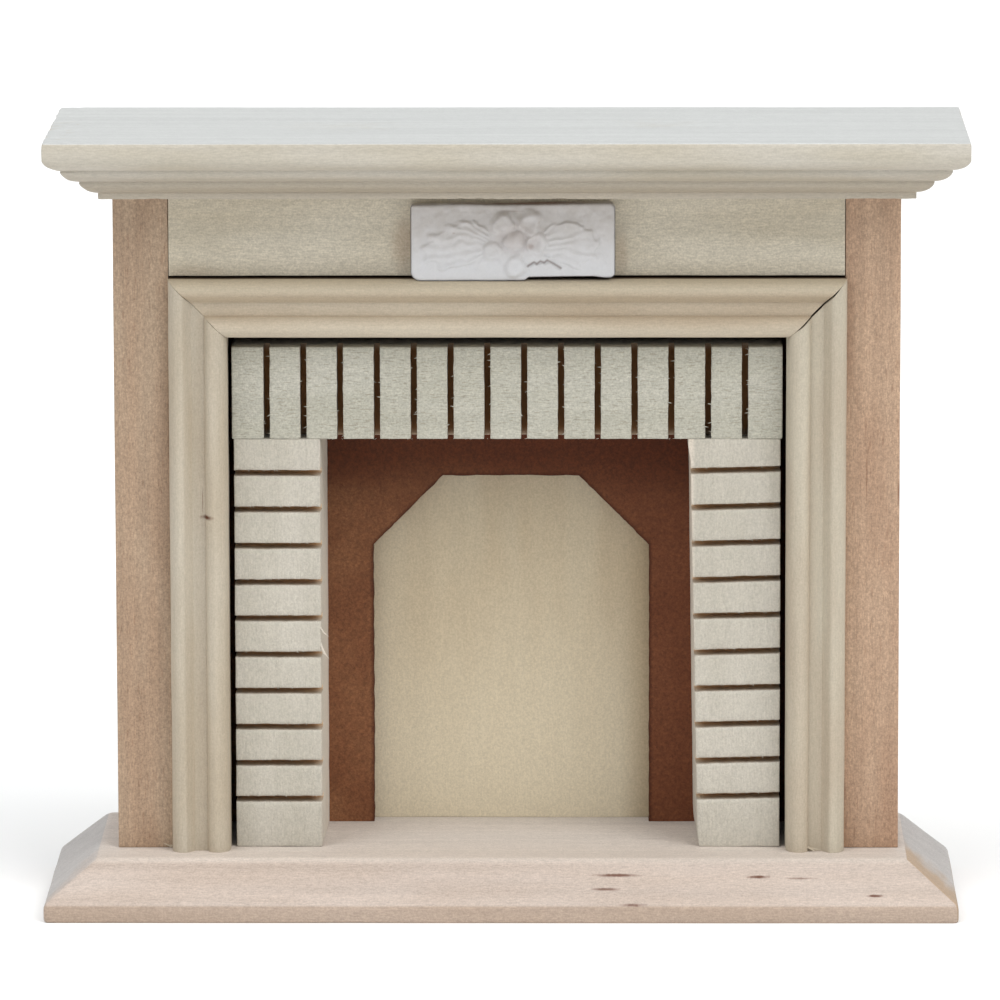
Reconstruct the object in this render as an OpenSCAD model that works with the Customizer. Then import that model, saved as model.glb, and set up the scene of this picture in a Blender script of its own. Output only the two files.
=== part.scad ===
// Miniature fireplace mantel, twelfth scale, bare wood.
// Millimetres, +Z up. X runs along the mantel, +Y points at the wall behind it.
// The origin is the middle of the footprint, on the surface that the hearth stands on.

/* [Overall] */
// Height from the floor to the top of the shelf
mantel_h = 115.4; // [110:0.2:135]
// Width over the two columns
surround_w = 115.4; // [108:0.2:116]
// Depth of the surround, from the columns' front face to the wall
surround_d = 25.5; // [23:0.5:28]
// How far the surround stands right of the footprint's middle
surround_x = 0.35; // [-0.6:0.05:0.6]

/* [Hearth base] */
// Width of the hearth base
hearth_w = 134.2; // [133:0.2:150]
// Depth of the hearth base
hearth_d = 40.5; // [37:0.5:43]
// Thickness of the hearth base
hearth_t = 8.2; // [6:0.1:12]
// Height of the plain band under the bevel
hearth_band = 2.6; // [1:0.1:5]
// How far the bevel runs in from the front and the ends
hearth_bevel = 7.4; // [3:0.1:8]
// How far the hearth base stands left of the footprint's middle
hearth_shift = 0.55; // [0:0.05:1]

/* [Mantel shelf] */
// Width of the mantel shelf
shelf_w = 134; // [132:1:150]
// Depth of the mantel shelf
shelf_d = 43; // [41:0.5:60]
// Thickness of the mantel shelf
shelf_t = 9; // [8:0.1:12]
// Height of the square edge above the three routed steps
shelf_edge = 2.6; // [1:0.1:3]
// How far the routed edge runs in, over all three steps
shelf_rout = 7.6; // [5:0.1:9]
// How far the mantel shelf stands right of the footprint's middle
shelf_shift = 0.55; // [0:0.05:1]

/* [Columns and frieze] */
// Width of one column
column_w = 8.1; // [6:0.1:12]
// Height of the frieze between the columns
frieze_h = 13; // [12.5:0.1:20]
// Thickness of the frieze
frieze_t = 7; // [4:0.5:12]

/* [Architrave moulding] */
// Width of the moulding's face
moulding_w = 8.6; // [7:0.1:12]
// Thickness of the moulding, from its back to the crest of its beads
moulding_t = 7; // [5:0.1:9]
// How far the crest of the beads stands in front of the columns
moulding_proud = 4; // [3:0.1:5]
// Open gap left in the right mitre
mitre_gap = 0.2; // [0.05:0.05:0.5]

/* [Brick surround] */
// Height of the lintel block
lintel_h = 13.7; // [10:0.1:18]
// Gap between the lintel and the moulding above it
lintel_gap = 1.7; // [0.5:0.1:3]
// Gap between the jambs and the mouldings at their sides
side_gap = 0.8; // [0.4:0.1:2]
// How far the lintel runs past the jambs' outer faces
lintel_over = 0.25; // [0:0.05:0.3]
// Number of bricks cut in the lintel
lintel_bricks = 15; // [7:1:21]
// Number of bricks cut in each jamb
jamb_bricks = 11; // [5:1:15]
// Width of one jamb
jamb_w = 12.7; // [9:0.1:18]
// How far a jamb widens inwards towards its back
jamb_splay = 0.5; // [0:0.1:2]
// How far the blocks are set back from the columns' front face
brick_setback = 0.5; // [0:0.1:3]
// Width of a saw kerf
kerf_w = 0.9; // [0.5:0.05:1.4]
// Depth of a saw kerf
kerf_d = 4; // [1:0.5:6]
// Tilt of the right jamb's kerfs, in degrees
kerf_tilt = 1.4; // [0:0.1:3]
// How much higher the right jamb's kerfs sit than the left jamb's
kerf_step = 0.45; // [0:0.05:1]
// Lean of the right jamb's inner face, in degrees
jamb_lean = 1.1; // [0:0.1:2]

/* [Firebox] */
// Thickness of the hardboard liner
liner_t = 3.1; // [2:0.1:5]
// Thickness of the plywood back
back_t = 3.5; // [2:0.1:5]
// Width of the arch cut in the liner
arch_w = 41.2; // [30:0.2:48]
// Width of the arch's flat top
arch_top_w = 20.3; // [10:0.1:28]
// Height of the arch above the hearth
arch_h = 52.7; // [46:0.1:58]
// Height of the arch's corner cut
arch_cut = 10.5; // [4:0.1:20]
// How far the arch stands right of the surround's middle
arch_shift = 0.35; // [0:0.05:1]

/* [Plaque] */
// Width of the plaque
plaque_w = 29.9; // [26:0.1:40]
// Height of the plaque
plaque_h = 11.2; // [10.6:0.1:12]
// Thickness of the plaque, without its flower
plaque_t = 2.6; // [1.5:0.1:3]
// Radius of the plaque's corners
plaque_r = 0.9; // [0.3:0.1:2]
// How far the plaque stands right of the surround's middle
plaque_shift = 0.95; // [0:0.05:2]
// Height of the flower's centre over the plaque
flower_relief = 0.9; // [0.4:0.1:1.2]

/* [Hidden] */
$fn = 48;

over = 1; // how far a cutting solid runs past the solid that it cuts
arc_steps = 8; // straight runs in a quarter of a routed curve

wall_y = shelf_d / 2; // the plane against the wall
front_y = wall_y - surround_d; // the columns' front face
shelf_z = mantel_h - shelf_t; // the shelf's underside
post_h = shelf_z - hearth_t;

inner_w = surround_w - 2 * column_w; // between the columns
architrave_h = post_h - frieze_h; // outer height of the moulding frame
opening_w = inner_w - 2 * moulding_w; // inside the moulding frame
opening_h = architrave_h - moulding_w;

jamb_x = opening_w / 2 - side_gap; // from the middle to a jamb's outer face
lintel_w = 2 * (jamb_x + lintel_over);
jamb_h = opening_h - lintel_gap - lintel_h;
brick_y = front_y + brick_setback;
liner_y = wall_y - back_t - liner_t; // the liner's front face
brick_d = liner_y - brick_y;

lintel_first = lintel_w / lintel_bricks - 0.4; // the lintel's left end to its first kerf
lintel_last = lintel_w / lintel_bricks;
jamb_first = 5.1; // a jamb's top to its first kerf
jamb_last = 7.2; // a jamb's lowest kerf to the hearth

// Points on a quarter of an ellipse, from the angle a0 to a1
function quarter(cx, cy, rx, ry, a0, a1) =
    [for (i = [0 : arc_steps])
        let (a = a0 + (a1 - a0) * i / arc_steps) [cx + rx * cos(a), cy + ry * sin(a)]];

// A solid whose front edge and two ends all have the same profile, and whose back is square.
// edge lists the profile's points from the bottom up, as [how far in, height].
module edged_board(w, d, edge) {
    flip = [for (i = [len(edge) - 1 : -1 : 0]) edge[i]];
    intersection() {
        translate([-w / 2, 0, 0]) rotate([90, 0, 90]) linear_extrude(w)
            polygon(concat([[d, edge[0][1]], [d, flip[0][1]]], flip));
        translate([0, d + over, 0]) rotate([90, 0, 0]) linear_extrude(d + 2 * over)
            polygon(concat([for (p = edge) [w / 2 - p[0], p[1]]],
                           [for (p = flip) [p[0] - w / 2, p[1]]]));
    }
}

// The base: a bevelled board with a plain band at its foot
module hearth_base() {
    edge = [[0, 0], [0, hearth_band], [hearth_bevel, hearth_t]];
    color("#dccbbb") translate([-hearth_shift, wall_y - hearth_d, 0])
        edged_board(hearth_w, hearth_d, edge);
}

// One column, with its left face at x
module column(x) {
    translate([x, front_y, hearth_t]) cube([column_w, surround_d, post_h]);
}

module column_left() {
    color("#c39b82") column(surround_x - surround_w / 2);
}

module column_right() {
    color("#c39b82") column(surround_x + surround_w / 2 - column_w);
}

module frieze_panel() {
    color("#c8c1a5") translate([surround_x - inner_w / 2, front_y, shelf_z - frieze_h])
        cube([inner_w, frieze_t, frieze_h]);
}

// The shelf: one board with three rounded steps routed round its front and ends
module mantel_shelf() {
    fillet = 0.9; // plain strip under the lowest step
    riser = 0.3; // plain rise between two steps
    run = shelf_rout / 3;
    rise = (shelf_t - shelf_edge - fillet - 2 * riser) / 3;
    edge = concat([[shelf_rout, 0]],
                  [for (k = [0 : 2])
                      each quarter(run * (3 - k), fillet + k * (rise + riser) + rise,
                                   run, rise, 270, 180)],
                  [[0, shelf_t]]);
    color("#d9d6cb") translate([shelf_shift, wall_y - shelf_d, shelf_z])
        edged_board(shelf_w, shelf_d, edge);
}

// The moulding's section: x runs from its outer edge to its inner edge, y towards the front.
// A rounded outer edge falls by a plain slope to a flat, and a low bead ends at the inner edge.
module moulding_section() {
    crest_x = 1.9; // where the outer part is highest
    crease_x = 3.4; // the foot of the slope
    bead_x = moulding_w - 1.9; // where the inner bead is highest
    flat_y = moulding_proud - 1.7;
    bead_h = 1.5;
    edge_drop = 2.5; // the rounded edges' height
    polygon(concat([[0, moulding_proud - moulding_t]],
                   [[moulding_w, moulding_proud - moulding_t]],
                   quarter(bead_x, flat_y + bead_h - edge_drop, 1.9, edge_drop, 0, 90),
                   quarter(bead_x, flat_y, 1.4, bead_h, 90, 180),
                   [[crease_x, flat_y], [crest_x + 0.3, moulding_proud - 0.12]],
                   quarter(crest_x, moulding_proud - edge_drop, crest_x, edge_drop, 90, 180)));
}

// A straight length of moulding, standing on its lower end with its outer edge at x = 0
module moulding(length) {
    mirror([0, 1, 0]) linear_extrude(length) moulding_section();
}

// An upright of the moulding frame, mitred at its top, with its outer edge at x = 0
module architrave_upright(gap) {
    h = architrave_h;
    w = moulding_w;
    intersection() {
        moulding(h);
        translate([0, moulding_t, 0]) rotate([90, 0, 0]) linear_extrude(2 * moulding_t)
            polygon([[-over, 0], [w + over, 0], [w + over, h - w - over - gap],
                     [-over, h + over - gap]]);
    }
}

module architrave_left() {
    color("#cdc3aa") translate([surround_x - inner_w / 2, front_y, hearth_t])
        architrave_upright(0);
}

module architrave_right() {
    color("#cdc3aa") translate([surround_x + inner_w / 2, front_y, hearth_t])
        mirror([1, 0, 0]) architrave_upright(mitre_gap * sqrt(2));
}

// The top of the moulding frame, mitred at both ends
module architrave_top() {
    w = moulding_w;
    half = inner_w / 2;
    color("#cdc3aa") translate([surround_x, front_y, hearth_t + architrave_h]) intersection() {
        translate([-half, 0, 0]) rotate([0, 90, 0]) moulding(inner_w);
        translate([0, moulding_t, 0]) rotate([90, 0, 0]) linear_extrude(2 * moulding_t)
            polygon([[-half, 0], [half, 0], [half - w - over, -w - over],
                     [-half + w + over, -w - over]]);
    }
}

// The lintel: a block with upright saw kerfs that mark its bricks
module brick_lintel() {
    pitch = (lintel_w - lintel_first - lintel_last) / (lintel_bricks - 2);
    color("#cbc8b6") translate([surround_x - lintel_w / 2, brick_y, hearth_t + jamb_h])
        difference() {
            cube([lintel_w, brick_d, lintel_h]);
            for (k = [0 : lintel_bricks - 2])
                translate([lintel_first + pitch * k - kerf_w / 2, -over, -over])
                    cube([kerf_w, kerf_d + over, lintel_h + 2 * over]);
        }
}

// A jamb block with saw kerfs, its outer face at x = 0. Its inner face is sawn at two small
// angles: it widens the block towards the back, and towards the top if it leans.
module brick_jamb(tilt, lean, step) {
    pitch = (jamb_h - jamb_first - jamb_last) / (jamb_bricks - 2);
    swing = atan(jamb_splay / brick_d);
    difference() {
        cube([2 * jamb_w, brick_d, jamb_h]);
        translate([jamb_w, 0, jamb_h / 2]) rotate([0, lean, -swing])
            translate([0, -jamb_w, -jamb_h])
                cube([2 * jamb_w, brick_d + 2 * jamb_w, 2 * jamb_h]);
        for (k = [0 : jamb_bricks - 2])
            translate([jamb_w / 2, 0, jamb_last + step + pitch * k]) rotate([0, tilt, 0])
                translate([-jamb_w, -over, -kerf_w / 2])
                    cube([2 * jamb_w, kerf_d + over, kerf_w]);
    }
}

module brick_jamb_left() {
    color("#cbc8b6") translate([surround_x - jamb_x, brick_y, hearth_t])
        brick_jamb(0, 0, 0);
}

module brick_jamb_right() {
    color("#cbc8b6") translate([surround_x + jamb_x, brick_y, hearth_t])
        mirror([1, 0, 0]) brick_jamb(kerf_tilt, jamb_lean, kerf_step);
}

// The hardboard sheet behind the bricks, with the arch of the fire opening cut in it
module firebox_liner() {
    half = arch_w / 2;
    top = arch_top_w / 2;
    color("#5f3726") translate([surround_x, liner_y + liner_t, hearth_t]) rotate([90, 0, 0])
        linear_extrude(liner_t) difference() {
            translate([-inner_w / 2, 0]) square([inner_w, post_h]);
            translate([arch_shift, 0])
                polygon([[-half, -over], [half, -over], [half, arch_h - arch_cut],
                         [top, arch_h], [-top, arch_h], [-half, arch_h - arch_cut]]);
        }
}

module back_panel() {
    color("#beaf91") translate([surround_x - inner_w / 2, wall_y - back_t, hearth_t])
        cube([inner_w, back_t, post_h]);
}

// A petal, leaf or flower centre: the cap of a ball that stands out by h and is r wide
module cap(r, h) {
    ball_r = (r * r + h * h) / (2 * h);
    intersection() {
        translate([0, 0, h - ball_r]) sphere(ball_r);
        translate([-r, -r, -0.2]) cube([2 * r, 2 * r, h + 1]);
    }
}

// A pointed leaf along +x, cut from two overlapping discs
module leaf(length, w, t) {
    r = (length * length / 4 + w * w / 4) / w;
    translate([0, 0, -0.2]) linear_extrude(t + 0.2) intersection() {
        translate([length / 2, w / 2 - r]) circle(r);
        translate([length / 2, r - w / 2]) circle(r);
    }
}

// The plaque: a small cast tablet with a flower and two sprays of leaves
module plaque() {
    petals = 5;
    petal_r = 1.65;
    petal_ring = 2.5; // the flower's middle to a petal's middle
    leaf_h = 0.4;
    w = plaque_w - 2 * plaque_r;
    h = plaque_h - 2 * plaque_r;
    color("#e4e3e2")
        translate([surround_x + plaque_shift, front_y, hearth_t + architrave_h + plaque_h / 2])
        rotate([90, 0, 0]) {
            linear_extrude(plaque_t) {
                square([w, plaque_h], center = true);
                square([plaque_w, h], center = true);
                for (sx = [-1, 1], sy = [-1, 1])
                    translate([sx * w / 2, sy * h / 2]) circle(plaque_r);
            }
            translate([0, 0.4, plaque_t]) {
                cap(1.5, flower_relief);
                for (k = [0 : petals - 1]) rotate(360 / petals * (k + 0.15))
                    translate([petal_ring, 0, 0]) cap(petal_r, flower_relief * 0.6);
                for (side = [0, 180], turn = [-16, 4, 24]) rotate(side + turn)
                    translate([3.2, 0, 0]) leaf(8.6, 2.4, leaf_h);
            }
        }
}

hearth_base();
column_left();
column_right();
frieze_panel();
mantel_shelf();
architrave_top();
architrave_left();
architrave_right();
brick_lintel();
brick_jamb_left();
brick_jamb_right();
firebox_liner();
back_panel();
plaque();
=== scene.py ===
"""Looks for the miniature fireplace mantel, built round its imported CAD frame.

Mesh code works in millimetres in the row's frame, and make_piece turns them into metres.
-Y is the front, where the fire opening is, and +Z is up.
"""

import math

import bmesh
import bpy
import numpy as np
from mathutils import Matrix, Vector


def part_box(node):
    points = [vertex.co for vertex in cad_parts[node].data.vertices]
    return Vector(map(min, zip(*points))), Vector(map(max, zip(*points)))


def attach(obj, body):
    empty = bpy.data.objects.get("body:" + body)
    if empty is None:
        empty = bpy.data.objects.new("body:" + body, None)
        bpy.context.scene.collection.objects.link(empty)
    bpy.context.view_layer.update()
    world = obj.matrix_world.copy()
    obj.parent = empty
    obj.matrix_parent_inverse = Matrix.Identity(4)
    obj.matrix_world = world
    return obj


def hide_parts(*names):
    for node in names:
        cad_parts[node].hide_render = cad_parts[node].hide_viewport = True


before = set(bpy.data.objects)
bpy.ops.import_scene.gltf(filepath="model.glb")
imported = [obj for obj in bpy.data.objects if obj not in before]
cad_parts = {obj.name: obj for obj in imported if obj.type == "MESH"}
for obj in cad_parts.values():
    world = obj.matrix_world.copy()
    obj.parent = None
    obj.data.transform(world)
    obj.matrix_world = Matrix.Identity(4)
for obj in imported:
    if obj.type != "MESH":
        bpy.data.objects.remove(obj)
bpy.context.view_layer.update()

MM = 0.001
UP, RIGHT, BACK = 2, 0, 1  # axes by number


# ------------ noise and grids


def cell_value(cell, seed):
    """A repeatable value from -1 to 1 for each cell of a unit grid."""
    i, j, k = (cell[:, axis].astype(np.int64) for axis in range(3))
    mixed = (i * 374761393) ^ (j * 668265263) ^ (k * 1274126177) ^ (seed * 83492791)
    mixed = (mixed ^ (mixed >> 13)) * 1103515245
    mixed = mixed ^ (mixed >> 16)
    return (mixed & 0xFFFF) / 32767.5 - 1


def swell(points, size, seed):
    """Smooth noise from -1 to 1. size is the length of one swell in mm, or one for each axis."""
    scaled = points / np.asarray(size, float)
    cell = np.floor(scaled)
    part = scaled - cell
    part = part * part * (3 - 2 * part)
    total = np.zeros(len(points))
    for corner in np.ndindex(2, 2, 2):
        weight = np.prod(np.where(corner, part, 1 - part), axis=1)
        total += weight * cell_value(cell + np.array(corner), seed)
    return total


def roughen(points, amount, size, seed):
    """Moves every point a little, in every direction, by smooth noise."""
    shift = [swell(points, size, seed + axis) for axis in range(3)]
    return points + amount * np.stack(shift, axis=1)


def lines(low, high, step, arris=0.0, keep=()):
    """Grid lines from low to high, crowded at both arrises, and at each value in keep."""
    count = max(2, round((high - low - 2 * arris) / step) + 1)
    inner = np.linspace(low + arris, high - arris, count)
    keep = np.asarray(keep, float)
    if keep.size:
        inner = inner[np.abs(inner[:, None] - keep).min(axis=1) > 0.12]
    crowd = arris * np.array([0.0, 0.35])
    every = np.concatenate([inner, low + crowd, high - crowd, keep])
    return np.unique(every.round(4))


def box_skin(xs, ys, zs):
    """The points and quads of a closed box whose faces carry these grid lines."""
    counts = (len(xs), len(ys), len(zs))
    place = np.indices(counts)
    skin = np.zeros(counts, bool)
    for axis, count in enumerate(counts):
        skin |= (place[axis] == 0) | (place[axis] == count - 1)
    ids = np.full(counts, -1)
    ids[skin] = np.arange(skin.sum())
    grid = [np.asarray(g)[place[axis][skin]] for axis, g in enumerate((xs, ys, zs))]
    quads = []
    for axis in range(3):
        for end, inward in ((0, True), (-1, False)):
            side = np.take(ids, end, axis=axis)
            ring = [side[:-1, :-1], side[1:, :-1], side[1:, 1:], side[:-1, 1:]]
            faces = np.stack(ring, axis=-1).reshape(-1, 4)
            quads.append(faces[:, ::-1] if inward != (axis == 1) else faces)
    return np.stack(grid, axis=1), np.concatenate(quads)


def round_arrises(points, low, high, radius):
    """Rolls the edges of the box from low to high. radius may differ from point to point."""
    r = np.broadcast_to(radius, len(points))[:, None]
    core = np.clip(points, low + r, high - r)
    out = points - core
    size = np.linalg.norm(out, axis=1, keepdims=True)
    return core + out * r / np.maximum(size, 1e-9)


def smooth_step(low, high, value):
    """0 below low, 1 above high, and an even curve between."""
    t = np.clip((value - low) / (high - low), 0, 1)
    return t * t * (3 - 2 * t)


# ------------ pieces


def add_object(name, data):
    obj = bpy.data.objects.new(name, data)
    bpy.context.scene.collection.objects.link(obj)
    return obj


def make_piece(name, points, faces, replaces=None, char=None, sharp=38):
    """A mesh piece that rides on the one body. char is how dark each point is painted, from 0 to
    1, for dark joints and painted shade.
    """
    mesh = bpy.data.meshes.new(name)
    mesh.from_pydata((points * MM).tolist(), [], [tuple(map(int, f)) for f in faces])
    bm = bmesh.new()
    bm.from_mesh(mesh)
    bmesh.ops.recalc_face_normals(bm, faces=bm.faces)
    bm.to_mesh(mesh)
    bm.free()
    mesh.shade_smooth()
    mesh.set_sharp_from_angle(angle=math.radians(sharp))
    joint_and_shade_layer = mesh.attributes.new("char", "FLOAT", "POINT")
    joint_and_shade_layer.data.foreach_set("value", np.zeros(len(points)) if char is None else char)
    obj = add_object(name, mesh)
    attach(obj, "root")
    if replaces:
        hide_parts(replaces)
    return obj


def box_mm(node):
    """The lowest and highest corner of a CAD node, in millimetres."""
    low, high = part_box(node)
    return np.array(low) / MM, np.array(high) / MM


PLANED_WANDER = 0.03  # how far a planed face strays from true


def planed_block(node, name, step, arris, seed, short=0.0, lifted=0.0):
    """A planed stick or sheet: sharp arrises broken by hand, faces not quite true. It is short of
    its node at both ends in X, and lifted at its foot."""
    low, high = box_mm(node)
    low += (short, 0, lifted)
    high -= (short, 0, 0)
    points, quads = box_skin(*(lines(low[a], high[a], step, arris) for a in range(3)))
    wear = 0.6 + 0.4 * swell(points, 5.0, seed) + 0.5 * swell(points, 1.3, seed + 5) ** 3
    points = round_arrises(points, low, high, arris * np.clip(wear, 0.15, 1))
    points = roughen(points, PLANED_WANDER, 9.0, seed + 11)
    return make_piece(name, points, quads, node)


OUTLINE_STEPS = 4  # segments in each rounded corner


def rounded_outline(corners, radius):
    """The outline with each inner corner turned into a small curve."""
    corners = [np.array(c, float) for c in corners]
    outline = [corners[0]]
    for before, corner, after in zip(corners, corners[1:], corners[2:]):
        reach = [min(radius, 0.45 * np.linalg.norm(c - corner)) for c in (before, after)]
        start = corner + reach[0] * (before - corner) / np.linalg.norm(before - corner)
        end = corner + reach[1] * (after - corner) / np.linalg.norm(after - corner)
        for t in np.linspace(0, 1, OUTLINE_STEPS + 1):
            outline.append((1 - t) ** 2 * start + 2 * t * (1 - t) * corner + t * t * end)
    outline.append(corners[-1])
    return np.array(outline)


def moulded_board(node, profile, step, corner_radius):
    """Points and quads of a board whose front and ends have the profile: rows of (inset, height)
    from its underside up. Its back is square. Gives each point's row along the profile too."""
    low, high = box_mm(node)
    xs = lines(low[0], high[0], step, 0.6)
    ys = lines(low[1], high[1], step, 0.6)
    points, quads = box_skin(xs, ys, np.arange(len(profile), dtype=float))
    row = points[:, 2].round().astype(int)
    inset, height = profile[row].T
    span = high - low
    x = low[0] + inset + (points[:, 0] - low[0]) * (span[0] - 2 * inset) / span[0]
    y = low[1] + inset + (points[:, 1] - low[1]) * (span[1] - inset) / span[1]
    flat = np.stack([x, y, np.zeros_like(x)], axis=1)
    inner_low = np.stack([low[0] + inset, low[1] + inset, -np.ones_like(x)], axis=1)
    inner_high = np.stack([high[0] - inset, np.full_like(x, high[1] + 9), np.ones_like(x)], axis=1)
    flat = round_arrises(flat, inner_low, inner_high, corner_radius)
    return np.stack([flat[:, 0], flat[:, 1], low[2] + height], axis=1), quads, row


# ------------ splinters

SPLINTER_RINGS = 4


def splinter(root, tip, width, bend=0.0):
    """A thin three-sided sliver that tapers from root to tip and may bend."""
    root, tip = np.array(root, float), np.array(tip, float)
    run = tip - root
    side = np.cross(run, [0.31, 0.84, 0.45])
    side /= np.linalg.norm(side)
    third = np.cross(run, side) / np.linalg.norm(run)
    points = []
    for t in np.linspace(0, 1, SPLINTER_RINGS, endpoint=False):
        centre = root + run * t + third * bend * math.sin(math.pi * t)
        for turn in range(3):
            angle = math.tau * turn / 3
            reach = 0.5 * width * (1 - t) ** 0.7
            points.append(centre + reach * (side * math.cos(angle) + third * math.sin(angle)))
    points.append(tip)
    faces = [(2, 1, 0)]
    for ring in range(SPLINTER_RINGS - 1):
        for turn in range(3):
            a, b = 3 * ring + turn, 3 * ring + (turn + 1) % 3
            faces.append((a, b, b + 3, a + 3))
    last = 3 * (SPLINTER_RINGS - 1)
    faces += [(last + turn, last + (turn + 1) % 3, last + 3) for turn in range(3)]
    return np.array(points), faces


def splinter_piece(name, parts, material):
    """One piece made of many slivers."""
    points, faces, start = [], [], 0
    for some_points, some_faces in parts:
        points.append(some_points)
        faces += [tuple(int(i) + start for i in f) for f in some_faces]
        start += len(some_points)
    wear_material(make_piece(name, np.concatenate(points), faces), material)


# ------------ materials


class Shader:
    """A node material, built up one node at a time. Sizes are in millimetres."""

    def __init__(self, name):
        self.material = bpy.data.materials.new(name)
        self.material.use_nodes = True
        self.tree = self.material.node_tree
        self.tree.nodes.clear()
        coords = self.tree.nodes.new("ShaderNodeTexCoord")
        self.place = self.vector("SCALE", coords.outputs["Object"], None, 1 / MM)

    def add(self, kind, inputs, output=0, **settings):
        """Adds a node, sets or links its inputs, and gives one of its outputs."""
        node = self.tree.nodes.new("ShaderNode" + kind)
        for key, value in settings.items():
            setattr(node, key, value)
        for key, value in inputs.items():
            if isinstance(value, bpy.types.NodeSocket):
                self.tree.links.new(value, node.inputs[key])
            elif value is not None:
                node.inputs[key].default_value = value
        return node.outputs[output]

    def vector(self, operation, a, b=None, scale=None, output=0):
        return self.add("VectorMath", {0: a, 1: b, "Scale": scale}, output, operation=operation)

    def math(self, operation, a, b=0.0):
        return self.add("Math", {0: a, 1: b}, operation=operation)

    def less(self, a, b):
        return self.math("SUBTRACT", a, b)

    def plus(self, a, b, times):
        """a and so many times b."""
        return self.math("ADD", a, self.math("MULTIPLY", b, times))

    def aside(self, middle):
        """How far to either side of middle the point lies in X."""
        return self.math("ABSOLUTE", self.less(self.axis(RIGHT), middle))

    def mix(self, amount, a, b):
        return self.add("Mix", {0: amount, 6: a, 7: b}, 2, data_type="RGBA")

    def fade(self, colour, paint, axis, low, high, at_low, at_high=0.0):
        """The colour painted over, by at_low up to low on the axis and by at_high past high."""
        return self.mix(self.span(self.axis(axis), low, high, at_low, at_high), colour, paint)

    def char(self, colour, joint_and_shade_colour):
        """The colour, turned to joint_and_shade_colour where the piece's char attribute is 1: dark
        joints and painted shade.
        """
        char = self.add("Attribute", {}, 2, attribute_name="char")
        return self.mix(char, colour, joint_and_shade_colour)

    def span(self, value, low, high, out_low=0.0, out_high=1.0):
        inputs = {0: value, 1: low, 2: high, 3: out_low, 4: out_high}
        return self.add("MapRange", inputs, interpolation_type="SMOOTHSTEP")

    def noise(self, size, detail=2.0, rough=0.5, place=None, shift=0.0):
        """Noise whose features have this size along X, Y and Z."""
        stretch = self.vector("MULTIPLY", place or self.place, [1 / s for s in size])
        moved = self.vector("ADD", stretch, (shift, shift * 0.7, shift * 1.3))
        inputs = {"Vector": moved, "Scale": 1.0, "Detail": detail, "Roughness": rough}
        return self.add("TexNoise", inputs)

    def axis(self, number):
        return self.add("SeparateXYZ", {0: self.place}, number)

    def shade(self, colour, by, amount):
        """The colour, lighter and darker by amount as the value by goes from 0 to 1."""
        grey = self.span(by, 0.25, 0.75, 1 - amount, 1 + amount)
        return self.vector("MULTIPLY", colour, self.vector("SCALE", (1.0, 1.0, 1.0), None, grey))

    def finish(self, colour, rough, bump=None, height=0.02, specular=0.35, sheen=0.0):
        inputs = {
            "Base Color": colour,
            "Roughness": rough,
            "Specular IOR Level": specular,
            "Sheen Weight": sheen,
            "Sheen Roughness": 0.6,
        }
        if bump is not None:
            relief = {"Strength": 1.0, "Distance": height * MM, "Height": bump}
            inputs["Normal"] = self.add("Bump", relief)
        output = self.tree.nodes.new("ShaderNodeOutputMaterial")
        self.tree.links.new(self.add("BsdfPrincipled", inputs), output.inputs["Surface"])
        return self.material


def rgb(red, green, blue):
    """A colour given as it looks on screen, from 0 to 255, as the shader wants it."""
    def linear(c):
        c /= 255
        return c / 12.92 if c <= 0.04045 else ((c + 0.055) / 1.055) ** 2.4
    return (linear(red), linear(green), linear(blue), 1.0)


def along(axis, length, across):
    """Feature sizes stretched along one axis."""
    size = [across] * 3
    size[axis] = length
    return size


def paint_marks(s, colour, marks, stain_and_shade):
    """Darkens small lens-shaped marks: each is (centre, half sizes, strength)."""
    warp = s.noise((0.9, 0.9, 0.9), 3.0, 0.6, shift=31.0)
    for centre, half, strength in marks:
        away = s.vector("SUBTRACT", s.place, centre)
        scaled = s.vector("DIVIDE", away, half)
        far = s.vector("LENGTH", scaled, output=1)
        uneven = s.plus(far, warp, 0.7)
        colour = s.mix(s.span(uneven, 0.55, 1.35, strength, 0.0), colour, stain_and_shade)
    return colour


def deep_of(colour):
    """A darker, browner shade of a colour."""
    return (colour[0] * 0.5, colour[1] * 0.44, colour[2] * 0.36, 1.0)


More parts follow.
